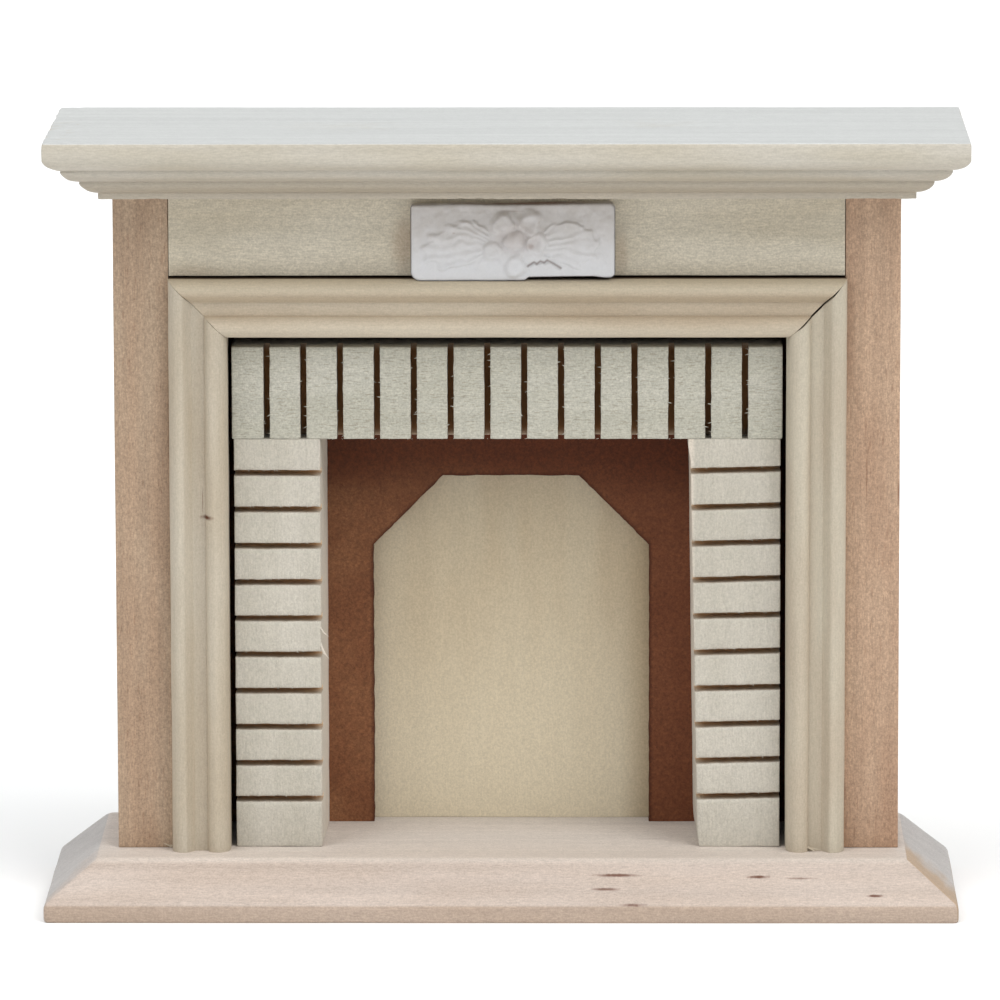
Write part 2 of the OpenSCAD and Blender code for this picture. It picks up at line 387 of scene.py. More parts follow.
def wood(name, grain, pale, deep, streak=0.06, fibre=0.05, pores=0.0, seed=0.0,
         marks=(), stain_and_shade=rgb(92, 58, 40), ring=1.6, bump=0.02, rough=0.62, sheen=0.0,
         fuzz=0.0, dashes=0.0, tone=None, joint_and_shade_colour=rgb(92, 60, 34)):
    """Bare wood: broad changes of tone, growth lines, fibre, pores and marks."""
    s = Shader(name)
    wander = s.noise(along(grain, 34.0, 7.0), 2.0, shift=seed + 3)
    colour = s.mix(s.span(wander, 0.3, 0.7), pale, deep)
    if tone:
        colour = tone(s, colour)
    growth = s.noise(along(grain, 70.0, ring), 4.0, 0.62, shift=seed + 11)
    fine = s.noise(along(grain, 1.1, 0.21), 3.0, 0.65, shift=seed + 23)
    colour = s.shade(colour, growth, streak)
    colour = s.shade(colour, fine, fibre)
    if pores:
        dash = s.noise(along(grain, 2.6, 0.26), 1.0, 0.5, shift=seed + 47)
        colour = s.mix(s.span(dash, 0.64, 0.74, 0.0, pores), colour, stain_and_shade)
    if dashes:
        stroke = s.noise(along(grain, 1.4, 0.2), 1.0, 0.5, shift=seed + 53)
        colour = s.mix(s.span(stroke, 0.33, 0.43, dashes, 0.0), colour, deep_of(deep))
    if fuzz:
        furry = s.noise((0.28, 0.28, 0.28), 2.0, 0.7, shift=seed + 61)
        colour = s.shade(colour, furry, fuzz)
    colour = paint_marks(s, colour, marks, stain_and_shade)
    colour = s.char(colour, joint_and_shade_colour)
    relief = s.plus(s.math("MULTIPLY", fine, 0.7), growth, 0.5)
    if fuzz:
        relief = s.plus(relief, furry, 1.2)
    satin = s.span(fine, 0.3, 0.7, rough - 0.06, rough + 0.08)
    return s.finish(colour, satin, relief, bump, sheen=sheen)


def wear_material(obj, material):
    obj.data.materials.clear()
    obj.data.materials.append(material)


# ------------ hearth

HEARTH_BAND = 2.6
HEARTH_BEVEL = 7.4


def hearth_base():
    low, high = box_mm("hearth_base")
    thick = high[2] - low[2]
    corners = [(0.25, 0), (0, 0.25), (0, HEARTH_BAND), (HEARTH_BEVEL, thick),
               (HEARTH_BEVEL + 2.5, thick)]
    outline = rounded_outline(corners, 0.8)
    bevel = np.linspace(corners[2], corners[3], 11)[2:-2]
    band = np.array([(0, z) for z in (0.7, 1.2, 1.7)])
    profile = np.concatenate([outline, bevel, band])
    profile = profile[np.lexsort((profile[:, 0], profile[:, 1]))]
    points, quads, _ = moulded_board("hearth_base", profile, 1.5, 0.7)
    points = roughen(points, 0.05, (11.0, 7.0, 5.0), 3)
    points[:, 2] = np.maximum(points[:, 2], 0)
    obj = make_piece("hearth_base_board", points, quads, "hearth_base", sharp=30)

    def tone(s, colour):
        """Painted sheen on the paler top, which grows paler towards the back; tan on the front
        band, and grey end grain on the end bevels.
        """
        # painted sheen: the top face is painted paler, more so towards the back
        flat = s.fade(rgb(199, 188, 178), rgb(208, 200, 193), BACK, -13.0, 6.0, 0.0, 1.0)
        colour = s.fade(colour, flat, UP, thick - 0.9, thick - 0.02, 0.0, 0.85)
        inset = s.less((high[0] - low[0]) / 2, s.aside((low[0] + high[0]) / 2))
        past_mitre = s.less(s.less(s.axis(BACK), low[1]), inset)
        blotch = s.noise((2.0, 6.0, 2.0), 3.0, shift=5)
        wavy = s.plus(past_mitre, blotch, 14.0)
        wavy = s.less(wavy, s.span(s.axis(RIGHT), -1.0, 1.0, 0.0, 7.0))
        end_bevel = s.math("MULTIPLY", s.math("GREATER_THAN", past_mitre, 0.0),
                           s.math("LESS_THAN", inset, HEARTH_BEVEL))
        near = s.fade(rgb(187, 173, 163), rgb(174, 150, 125), RIGHT, -1.0, 1.0, 0.0, 1.0)
        end = s.mix(s.span(wavy, 4.0, 17.0), near, rgb(184, 181, 179))
        colour = s.mix(s.math("MULTIPLY", end_bevel, 0.85), colour, end)
        return s.fade(colour, rgb(154, 130, 107), UP, HEARTH_BAND - 0.25, HEARTH_BAND + 0.1, 0.5)

    marks = [
        ((16.5, -14.2, 6.2), (4.4, 0.45, 0.45), 0.9),
        ((14.8, -16.4, 4.6), (2.7, 0.4, 0.4), 0.8),
        ((19.0, -18.9, 2.8), (3.0, 0.45, 0.45), 1.0),
        ((37.3, -14.5, 6.0), (2.1, 0.45, 0.45), 1.0),
        ((43.4, -14.7, 5.8), (2.8, 0.3, 0.3), 0.6),
        ((54.3, -17.4, 3.8), (1.7, 0.4, 0.4), 0.95),
        ((-31.0, -8.0, 8.2), (3.0, 0.3, 0.4), 0.2),
        ((22.0, 2.0, 8.2), (4.0, 0.3, 0.4), 0.25),
    ]
    wear_material(obj, wood(
        "hearth_wood", RIGHT, rgb(188, 174, 164), rgb(181, 165, 153), streak=0.06, fibre=0.12,
        seed=2.0, fuzz=0.11, marks=marks, stain_and_shade=rgb(98, 60, 44), ring=2.2, tone=tone))


# ------------ shelf

SHELF_EDGE = 2.6
SHELF_ROUT = 7.6
SHELF_FILLET = 0.9
SHELF_RISER = 0.3
SHELF_STEPS = 3


def shelf_profile(thick):
    """Three rounded steps over a plain fillet, each a little flatter than a quarter round."""
    run = SHELF_ROUT / SHELF_STEPS
    rise = (thick - SHELF_EDGE - SHELF_FILLET - (SHELF_STEPS - 1) * SHELF_RISER) / SHELF_STEPS
    rows = [(SHELF_ROUT, 0), (SHELF_ROUT, 0.3), (SHELF_ROUT, 0.6)]
    for k in range(SHELF_STEPS):
        inner = SHELF_ROUT - run * k
        base = SHELF_FILLET + k * (rise + SHELF_RISER)
        for t in np.linspace(0, 1, 8):
            turn = math.pi / 2 * t
            round_in, round_up = run * math.sin(turn), rise * (1 - math.cos(turn))
            rows.append((inner - 0.7 * round_in - 0.3 * run * t,
                         base + 0.7 * round_up + 0.3 * rise * t))
    top = [(0, thick - 1.2), (0, thick - 0.6), (0.03, thick - 0.22), (0.12, thick - 0.07),
           (0.3, thick)]
    return np.array(rows + top)


def mantel_shelf():
    low, high = box_mm("mantel_shelf")
    profile = shelf_profile(high[2] - low[2])
    points, quads, row = moulded_board("mantel_shelf", profile, 1.0, 0.35)
    torn = smooth_step(9.0, 1.0, points[:, 0] - low[0])
    fine = roughen(points, 0.10, (1.1, 1.6, 0.9), 21)
    points += (fine - points) * (0.18 + torn)[:, None] * (row > 0)[:, None]
    furry = (row < 2) * (0.13 * swell(points, (0.7, 0.9, 3.0), 23) - 0.02)
    points[:, 2] += furry * (points[:, 1] < low[1] + SHELF_ROUT + 0.5)
    points = roughen(points, 0.05, (23.0, 13.0, 9.0), 25)
    points = np.clip(points, low - 0.05, high + 0.05)
    obj = make_piece("mantel_shelf_board", points, quads, "mantel_shelf", sharp=28)
    marks = [((-20.0, 6.0, high[2]), (6.0, 0.3, 0.4), 0.12),
             ((35.0, -9.0, high[2]), (8.0, 0.3, 0.4), 0.1)]

    def tone(s, colour):
        """Painted sheen and shade: the top is painted paler and cooler than the routed edges,
        which are painted darker towards the bottom, under their own overhang, with the plain
        fillet at the bottom painted back paler.
        """
        colour = s.fade(colour, rgb(162, 151, 134), UP, low[2] + 0.8, low[2] + 6.4, 0.95)
        colour = s.fade(colour, rgb(188, 178, 162), UP, low[2] + 0.7, low[2] + 1.0, 0.8)
        return s.fade(colour, rgb(198, 199, 197), UP, high[2] - 0.14, high[2] - 0.02, 0.0, 1.0)

    wear_material(obj, wood(
        "shelf_wood", RIGHT, rgb(190, 184, 173), rgb(182, 174, 158), streak=0.05, fibre=0.09,
        seed=7.0, fuzz=0.05, marks=marks, ring=1.8, rough=0.45, tone=tone))


# ------------ columns, frieze and back


def columns():
    right_low, right_high = box_mm("column_right")
    for node, seed, pale, deep, marks in (
        ("column_left", 40, rgb(175, 153, 130), rgb(158, 132, 109), []),
        ("column_right", 60, rgb(178, 150, 126), rgb(162, 130, 106), [
            ((right_low[0] + 0.1, right_low[1], 17.0), (0.16, 0.6, 4.0), 0.8),
            ((right_low[0] + 0.5, right_low[1], 84.0), (1.3, 0.6, 13.0), 0.3),
            ((53.2, right_low[1], 64.0), (0.16, 0.6, 5.5), 0.55),
            ((53.0, right_low[1], 71.0), (0.14, 0.6, 3.0), 0.3),
            ((right_high[0] - 0.1, right_low[1], 61.5), (0.35, 0.5, 2.4), 0.7),
        ]),
    ):
        obj = planed_block(node, node + "_post", 1.6, 0.22, seed=seed)
        wear_material(obj, wood(
            node + "_wood", UP, pale, deep, streak=0.10, fibre=0.18,
            fuzz=0.20, pores=0.3, seed=seed / 7, marks=marks, stain_and_shade=rgb(122, 84, 60), ring=1.3))


FRIEZE_LIFT = 0.33  # dark line left between the frieze and the moulding


def frieze_and_back():
    frieze = planed_block("frieze_panel", "frieze_panel_strip", 1.4, 0.14, seed=80,
                          short=0.07, lifted=FRIEZE_LIFT)
    front = box_mm("frieze_panel")[0][1]
    left, right = box_mm("plaque")[0][0], box_mm("plaque")[1][0]
    marks = [((left - 1.0, front, 98.5), (2.6, 1.0, 5.5), 0.3),
             ((right + 0.8, front, 97.0), (1.6, 1.0, 5.0), 0.2),
             ((-46.0, front, 94.2), (7.0, 1.0, 1.4), 0.15)]
    wear_material(frieze, wood(
        "frieze_wood", RIGHT, rgb(200, 192, 175), rgb(190, 180, 160), streak=0.04, fibre=0.13,
        seed=9.0, ring=1.5, fuzz=0.14, marks=marks, stain_and_shade=rgb(150, 112, 80)))
    back = planed_block("back_panel", "back_panel_sheet", 2.5, 0.15, seed=90)

    def tone(s, colour):
        """Painted light and shade: the sheet is painted paler towards the hearth and darker up
        under the lintel, and darker at the arch's right, which the right jamb shades.
        """
        colour = s.fade(colour, rgb(211, 199, 174), UP, 12.0, 52.0, 0.9)
        return s.fade(colour, rgb(170, 148, 114), RIGHT, 16.5, 21.0, 0.0, 0.6)

    wear_material(back, wood(
        "back_ply", UP, rgb(199, 185, 159), rgb(191, 174, 146), streak=0.025, fibre=0.05,
        seed=12.0, ring=3.0, fuzz=0.10, tone=tone))


# ------------ mouldings

MOULDING_CREST = 4.0  # how far the moulding stands in front of the columns
MOULDING_FLAT = 2.3  # how far the flat between its beads does
CREST_AT, CREASE_AT, BEAD_FOOT = 1.9, 3.4, 5.3  # distances from the outer edge
BEAD_BACK = 1.9  # from the inner bead's crest to the inner edge
BEAD_RISE = 1.5
EDGE_DROP = 2.5  # height of the rounded outer and inner edges
MITRE_GAP = 0.32
RIGHT_LEAN = 0.24  # how far the right upright stands out at its top
# Where the grid lines run from a moulding's back (0) to its front (1). At the outer edge the pair
# in the middle lies either side of the columns' front face, and LEAN_FROM, LEAN_FULL are how far
# in front of that face they are there.
MOULDING_DEPTHS = (0.0, 0.5, 0.66, 0.72, 0.78, 1.0)
LEAN_FROM, LEAN_FULL = -0.03, 0.24


def quarter_rise(share):
    """Height of a quarter round of height 1, at 0 (its foot) to 1 (its crest)."""
    return np.sqrt(np.clip(1 - (1 - share) ** 2, 0, 1))


def moulding_front(s, width):
    """How far the moulding stands out, at distance s from its outer edge."""
    bead = width - BEAD_BACK
    bead_top = MOULDING_FLAT + BEAD_RISE
    marks = [CREST_AT, CREST_AT + 0.3, CREASE_AT, BEAD_FOOT]
    slope = np.interp(s, marks, [MOULDING_CREST, MOULDING_CREST - 0.1] + [MOULDING_FLAT] * 2)
    outer = MOULDING_CREST - EDGE_DROP * (1 - quarter_rise(s / CREST_AT))
    bead_foot = MOULDING_FLAT + BEAD_RISE * quarter_rise((s - BEAD_FOOT) / (bead - BEAD_FOOT))
    inner = bead_top - EDGE_DROP * (1 - quarter_rise((width - s) / BEAD_BACK))
    return np.select([s < CREST_AT, s < BEAD_FOOT, s < bead], [outer, slope, bead_foot], inner)


def moulding_rows(width):
    """Where the grid lines run along a moulding: close together at each curve and crease."""
    bead = width - BEAD_BACK
    turn = 1 - np.cos(np.linspace(0, math.pi / 2, 9))
    rows = [CREST_AT * turn, np.linspace(CREST_AT, CREST_AT + 0.3, 3),
            np.linspace(CREST_AT + 0.3, CREASE_AT, 6), [CREASE_AT + 0.04],
            np.linspace(CREASE_AT + 0.3, BEAD_FOOT, 6), BEAD_FOOT + (bead - BEAD_FOOT) * turn,
            width - BEAD_BACK * turn]
    return np.unique(np.concatenate(rows).round(3))


def moulding(node, name, place, length, width, seed, marks, long_axis, tones, tone=None):
    """One mitred length. place(s, along, out) gives a point of it in the row's frame."""
    low, high = box_mm(node)
    depth = high[1] - box_mm("column_left")[0][1]  # how far the back lies behind the front face
    points, quads = box_skin(moulding_rows(width), np.array(MOULDING_DEPTHS),
                             lines(0, length, 1.2, 0.15))
    s, t, share = points[:, 0], points[:, 2], points[:, 1]
    mitred = t > length - 0.01 if long_axis == UP else np.abs(t - length / 2) > length / 2 - 0.01
    swirl = np.stack([s, t * 0 + 3, t], axis=1)
    front = moulding_front(s, width) + 0.04 * swell(swirl, (1.0, 9.0, 5.0), seed)
    front -= 0.05 * (swell(swirl, (0.5, 9.0, 1.2), seed + 1) > 0.72)
    front -= 0.07 * mitred
    # dark joints painted along the mitred ends; on the top length, the back of its top face is
    # painted dark as the shadow in the gap below the frieze and plaque
    char = mitred * (0.5 + 1.3 * swell(points, (0.8, 9.0, 9.0), seed + 3))
    if long_axis == RIGHT:
        char = np.maximum(char, 0.95 * (s < 0.01) * (share < 0.8))
    points = place(s, t, front * share - depth * (1 - share))
    points = roughen(points, 0.025, 7.0, seed + 2)
    obj = make_piece(name, points, quads, node, np.clip(char, 0, 1), sharp=42)
    wear_material(obj, wood(
        node + "_wood", long_axis, *tones, streak=0.045,
        fibre=0.07, fuzz=0.07, seed=seed / 5, marks=marks, stain_and_shade=rgb(88, 48, 28), ring=1.2,
        joint_and_shade_colour=rgb(66, 42, 24), tone=tone))
    return obj


def mouldings():
    front = box_mm("column_left")[0][1]
    top_low, top_high = box_mm("architrave_top")
    width = top_high[2] - top_low[2]
    left_low, left_high = box_mm("architrave_left")
    right_low, right_high = box_mm("architrave_right")
    height = left_high[2] - left_low[2]

    def leaning(out):
        """The lean right of true, only in front of the column, which it would cut into behind."""
        return RIGHT_LEAN * smooth_step(LEAN_FROM, LEAN_FULL, out)

    def upright(outer, side, gap, leans):
        def place(s, t, out):
            lean = leaning(out) * leans
            opened = gap * smooth_step(0.6, 2.0, s) * smooth_step(width - 0.8, width - 2.2, s)
            z = left_low[2] + t * (height - s - opened) / height
            return np.stack([outer + side * s + lean * (0.3 + 0.7 * t / height), front - out, z],
                            axis=1)
        return place

    def across(s, t, out):
        span = top_high[0] - top_low[0]
        x = top_low[0] + s + t * (span - 2 * s + leaning(out)) / span
        return np.stack([x, front - out, top_high[2] - s], axis=1)

    def tone(s, colour):
        """Painted light and shade on the top length: its outer and inner beads are painted paler,
        and the slope between them, which faces down, darker.
        """
        crease, crest = top_high[2] - CREASE_AT, top_high[2] - CREST_AT
        colour = s.fade(colour, rgb(170, 154, 131), UP, crease - 0.1, crease + 0.4, 0.0, 0.7)
        colour = s.fade(colour, rgb(196, 184, 162), UP, crest - 0.3, crest + 0.8, 0.0, 0.9)
        return s.fade(colour, rgb(199, 189, 170), UP, top_low[2] + 0.6, top_low[2] + 2.6, 0.6)

    knot = ((left_low[0] + 5.5, front - 3.0, 58.3), (1.35, 1.9, 0.5), 1.0)
    fleck = ((left_low[0] + 4.9, front - 2.4, 60.6), (0.1, 1.0, 2.6), 0.6)
    # painted shade along the left upright's flat, between its beads
    shade_on_flat = ((left_low[0] + 4.4, front - MOULDING_FLAT, 45.0), (1.1, 2.0, 70.0), 0.08)
    moulding("architrave_left", "architrave_left_moulding", upright(left_low[0], 1, 0.04, False),
             height, width, 100, [knot, fleck, shade_on_flat], UP, (rgb(185, 175, 158), rgb(175, 162, 142)))
    moulding("architrave_right", "architrave_right_moulding",
             upright(right_high[0], -1, MITRE_GAP, True), height, width, 120, [], UP,
             (rgb(187, 178, 160), rgb(178, 165, 146)))
    moulding("architrave_top", "architrave_top_moulding", across,
             top_high[0] - top_low[0], width, 140, [], RIGHT,
             (rgb(189, 176, 156), rgb(178, 162, 140)), tone)


# ------------ brick blocks

KERF_WIDTH = 0.94
KERF_DEPTH = 4.0
LINTEL_BRICKS = 15
JAMB_BRICKS = 11
JAMB_WIDTH = 12.7
JAMB_SPLAY = 0.5
SPLAY_AT_TOP = 0.15  # the right jamb's splay fades to this
JAMB_LEAN = math.radians(1.1)
WORN_FOOT, TOP_FLARE = 0.25, 0.3  # at the right jamb's inner arris
KERF_TILT = math.radians(1.4)
KERF_STEP = 0.45  # how much higher the right jamb's kerfs sit
FIRST_KERF_SHIFT, LAST_KERF_SHIFT = 0.27, 0.1  # the lintel's end kerfs lie left of even spacing
FOOT_BRICK, TOP_BRICK = 7.2, 5.1  # from a jamb's two ends to its nearest kerfs
WORN_HEIGHT = 2.8
FLARE_FROM, FLARE_FULL = 3.2, 1.2  # below the jamb's top


def kerf_lines(centres):
    """Grid lines either side of each kerf's two edges, just inside them and at its middle."""
    half = KERF_WIDTH / 2
    offsets = [-half - 0.32, -half - 0.12, -half, -half + 0.02, 0]
    offsets += [-o for o in offsets[:-1]]
    return [c + o for c in centres for o in offsets]


def kerfed_block(node, centres, axis, seed):
    """Points, quads and painted kerf shade of a sawn block with kerfs across its front. The kerfs
    follow one another along axis."""
    low, high = box_mm(node)
    if axis == UP:
        if node.endswith("left"):
            high[0] = low[0] + JAMB_WIDTH
        else:
            low[0] = high[0] - JAMB_WIDTH
    other = RIGHT if axis == UP else UP
    grid = [None, None, None]
    grid[axis] = lines(low[axis], high[axis], 0.9, 0.3, kerf_lines(centres))
    grid[other] = lines(low[other], high[other], 0.3, 0.3)
    grid[BACK] = np.concatenate([low[1] + np.array([0, 0.1, 0.3, 0.8, 1.6, 2.8, 4.2]),
                                 np.linspace(low[1] + 6, high[1], 7)])
    points, quads = box_skin(*grid)
    along_axis, across = points[:, axis].copy(), points[:, other]
    nearest = np.array(centres)[np.abs(along_axis[:, None] - np.array(centres)).argmin(axis=1)]
    off = along_axis - nearest
    inside = np.abs(off) < KERF_WIDTH / 2 - 0.01
    floor = inside & (points[:, 1] < low[1] + 0.01)

    # arrises, furry along the kerfs, softer at the block's own edges
    beside = np.clip(1 - (np.abs(off) - KERF_WIDTH / 2) / 0.35, 0, 1) * ~inside
    where = np.stack([np.sign(off) * 7.0 + nearest, across, points[:, 1]], axis=1)
    chip = np.clip(swell(where, (1.0, 0.5, 3.0), seed) - 0.35, 0, 1)
    points = round_arrises(points, low, high, 0.12 + 0.12 * np.abs(swell(points, 1.7, seed + 1)))
    front_share = np.clip(1 - (points[:, 1] - low[1]) / 0.8, 0, 1)
    points[:, 1] += front_share * beside ** 2 * (0.10 + 0.35 * chip)
    furry = 0.035 * swell(where, (1.0, 0.34, 2.0), seed + 2)
    furry += 0.03 * swell(where, (1.0, 1.4, 4.0), seed + 3)
    near_edge = np.clip(1 - (np.abs(off) - KERF_WIDTH / 2) / 0.3, 0, 1)
    points[:, axis] += furry * near_edge * np.sign(off)

    # the kerf's floor
    span = high[1] - low[1]
    sunk = low[1] + KERF_DEPTH + (points[:, 1] - low[1]) * (1 - KERF_DEPTH / span)
    points[:, 1] = np.where(inside, sunk, points[:, 1])

    # sawn face
    face = points[:, 1] < low[1] + 0.5
    points[:, 1] += face * 0.035 * swell(points, (0.8, 3.0, 0.8), seed + 4)
    points = roughen(points, 0.03, 4.0, seed + 5)
    to_end = np.minimum(across - low[other], high[other] - across)
    # painted shade: the kerf floors are painted brown, less so near the block's ends, where the
    # kerfs open to the light
    return points, quads, floor * (0.6 + 0.4 * smooth_step(0.1, 1.2, to_end))


def lintel_centres(low, high):
    """The middles of the lintel's kerfs."""
    pitch = (high - low) / LINTEL_BRICKS
    first, last = low + pitch - FIRST_KERF_SHIFT, high - pitch - LAST_KERF_SHIFT
    return list(np.linspace(first, last, LINTEL_BRICKS - 1))


def jamb_centres(low, high, step):
    """The middles of a jamb's kerfs, which sit step above the left jamb's."""
    return list(np.linspace(low + FOOT_BRICK + step, high - TOP_BRICK + step, JAMB_BRICKS - 1))


def brick_blocks():
    inner = box_mm("brick_jamb_right")[1][0] - JAMB_WIDTH
    middle = (box_mm("brick_lintel")[0][0] + box_mm("brick_lintel")[1][0]) / 2

    def tone(s, colour):
        """Painted highlight: the jambs are paler and warmer round their inner arris."""
        arris = inner - middle
        reach = s.span(s.aside(middle), arris - 0.5, arris + 0.3, 0.5, 0.0)
        return s.mix(reach, colour, rgb(226, 212, 196))

    # each joint_and_shade_colour is the painted shade on its kerf floors
    sawn = wood("brick_wood", RIGHT, rgb(180, 177, 165), rgb(172, 169, 155), streak=0.04,
                fibre=0.14, seed=5.0, ring=1.4, fuzz=0.16, bump=0.05, rough=0.75, sheen=0.15,
                dashes=0.38, joint_and_shade_colour=rgb(140, 96, 52))
    sawn_up = wood("brick_wood_upright", UP, rgb(188, 182, 170), rgb(180, 174, 161), streak=0.03,
                   fibre=0.07, seed=6.0, ring=1.4, fuzz=0.11, bump=0.05, rough=0.75, sheen=0.15,
                   dashes=0.12, tone=tone, joint_and_shade_colour=rgb(214, 176, 132))
    low, high = box_mm("brick_lintel")
    centres = lintel_centres(low[0], high[0])
    points, quads, char = kerfed_block("brick_lintel", centres, RIGHT, 200)
    obj = make_piece("brick_lintel_block", points, quads, "brick_lintel", char)
    wear_material(obj, sawn)

    for node, side, tilt, lean, step, seed in (
        ("brick_jamb_left", 1, 0.0, 0.0, 0.0, 230),
        ("brick_jamb_right", -1, KERF_TILT, JAMB_LEAN, KERF_STEP, 260),
    ):
        low, high = box_mm(node)
        outer = low[0] if side > 0 else high[0]
        points, quads, char = kerfed_block(node, jamb_centres(low[2], high[2], step), UP, seed)
        share = (points[:, 0] - outer) / JAMB_WIDTH
        back = (points[:, 1] - low[1]) / (high[1] - low[1])
        z = points[:, 2]
        splay = JAMB_SPLAY if side > 0 else np.interp(
            z, [low[2] + 8, high[2]], [JAMB_SPLAY, SPLAY_AT_TOP])
        widen = side * splay * back + side * math.tan(lean) * (z - (low[2] + high[2]) / 2)
        if side < 0:
            widen += WORN_FOOT * np.clip(1 - (z - low[2]) / WORN_HEIGHT, 0, 1) ** 2
            widen -= TOP_FLARE * smooth_step(high[2] - FLARE_FROM, high[2] - FLARE_FULL, z)
        points[:, 0] += np.abs(share) * widen
        ends = smooth_step(0, 3, z - low[2]) * smooth_step(0, 3, high[2] - z)
        centre_x = outer + side * JAMB_WIDTH / 2
        points[:, 2] += math.tan(tilt) * (points[:, 0] - centre_x) * ends
        obj = make_piece(node + "_block", points, quads, node, char)
        wear_material(obj, sawn_up)
    return sawn, sawn_up


def brick_splinters(sawn, sawn_up):
    """Slivers that the saw left standing at the kerfs, and three long ones on the left jamb."""
    rng = np.random.default_rng(17)
    low, high = box_mm("brick_lintel")
    parts = []
    for centre in lintel_centres(low[0], high[0]):
        for _ in range(rng.integers(3, 8)):
            side = rng.choice([1, 1, 1, -1])
            z = rng.uniform(low[2] + 0.3, high[2] - 0.3)
            root = np.array([centre + side * (KERF_WIDTH / 2 + 0.12), low[1] + 0.08, z])
            reach = np.array([-side * rng.uniform(0.3, 0.75), -0.12, rng.uniform(-0.3, 0.35)])
            parts.append(splinter(root, root + reach, rng.uniform(0.1, 0.24)))
    for _ in range(46):
        x = rng.uniform(low[0] + 13, high[0] - 13)
        root = np.array([x, low[1] + 0.15, low[2] + 0.08])
        reach = np.array([rng.uniform(-0.5, 0.5), -0.05, -rng.uniform(0.05, 0.22)])
        parts.append(splinter(root, root + reach, rng.uniform(0.05, 0.1)))
    splinter_piece("lintel_splinters", parts, sawn)

    for node, side, step, seed in (("brick_jamb_left", 1, 0.0, 3),
                                   ("brick_jamb_right", -1, KERF_STEP, 4)):
        rng = np.random.default_rng(seed)
        low, high = box_mm(node)
        outer = low[0] if side > 0 else high[0]
        parts = []
        for centre in jamb_centres(low[2], high[2], step):
            for _ in range(rng.integers(5, 10)):
                x = outer + side * rng.uniform(0.5, JAMB_WIDTH - 0.5)
                root = np.array([x, low[1] + 0.1, centre + KERF_WIDTH / 2 + 0.06])
                reach = np.array([rng.uniform(-0.15, 0.15), -0.06, -rng.uniform(0.12, 0.36)])
                parts.append(splinter(root, root + reach, rng.uniform(0.06, 0.13)))
        inner = outer + side * JAMB_WIDTH
        for _ in range(14):
            z = rng.uniform(low[2] + 1, high[2] - 1)
            root = np.array([inner - side * 0.1, low[1] + 0.25, z])
            reach = np.array([side * rng.uniform(0.1, 0.4), -0.02, rng.uniform(-0.35, 0.1)])
            parts.append(splinter(root, root + reach, rng.uniform(0.05, 0.1)))
        if side > 0:
            for height, drop, width in ((41.3, 1.4, 0.3), (38.9, 2.4, 0.38), (38.2, 1.5, 0.28)):
                root = np.array([inner - 0.1, low[1] + 0.2, height])
                parts.append(splinter(root, root + [1.3, -0.4, -drop], width, bend=0.25))
        splinter_piece(node + "_splinters", parts, sawn_up)


# ------------ liner

ARCH_WIDTH = 41.2
ARCH_TOP_WIDTH = 20.3
ARCH_HEIGHT = 52.7
ARCH_CUT = 10.5
ARCH_X = 0.70  # the arch's middle in the row's frame


def walk(corners, step):
    """Points spaced along the straight runs between corners, without the last corner."""
    run = []
    for a, b in zip(corners, corners[1:]):
        a, b = np.array(a, float), np.array(b, float)
        count = max(1, round(np.linalg.norm(b - a) / step))
        run += [a + (b - a) * i / count for i in range(count)]
    return run


